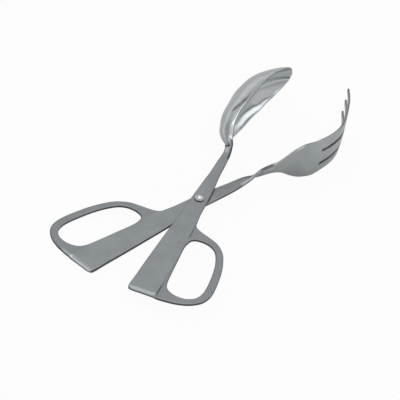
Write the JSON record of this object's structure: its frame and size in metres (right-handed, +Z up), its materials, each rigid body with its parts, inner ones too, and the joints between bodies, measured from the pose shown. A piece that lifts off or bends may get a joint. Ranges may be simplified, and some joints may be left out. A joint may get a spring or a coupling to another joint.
{
  "type": "scissor serving tongs",
  "caption": "Scissor-action serving tongs in stainless steel: a spoon arm and a three-tined fork arm with finger loops, crossed on a domed rivet.",
  "frame": {"origin": "on the table under the middle of the closed bounding box", "axes": "+Y towards the heads along the line between the arms, +X towards the fork and the spoon arm's finger loop, +Z up from the table"},
  "size_m": [0.1172, 0.2634, 0.0303],
  "materials": {
    "spoon_steel": "brushed handle, polished bowl",
    "fork_steel": "brushed handle, satin head",
    "rivet_steel": "polished steel",
    "washer_steel": "plain steel"
  },
  "bodies": {
    "fork_side": {"fork_arm": "fork_steel", "pivot_rivet": "rivet_steel", "tail_washer": "washer_steel"},
    "spoon_side": {"spoon_arm": "spoon_steel"}
  },
  "joints": [
    {"name": "scissor_hinge", "type": "hinge", "parent": "fork_side", "child": "spoon_side", "pos_m": [-0.00011, -0.02658, 0.00974], "axis": [-0.0536, -0.0509, 0.9973], "range_deg": [-14.5, 60]}
  ]
}
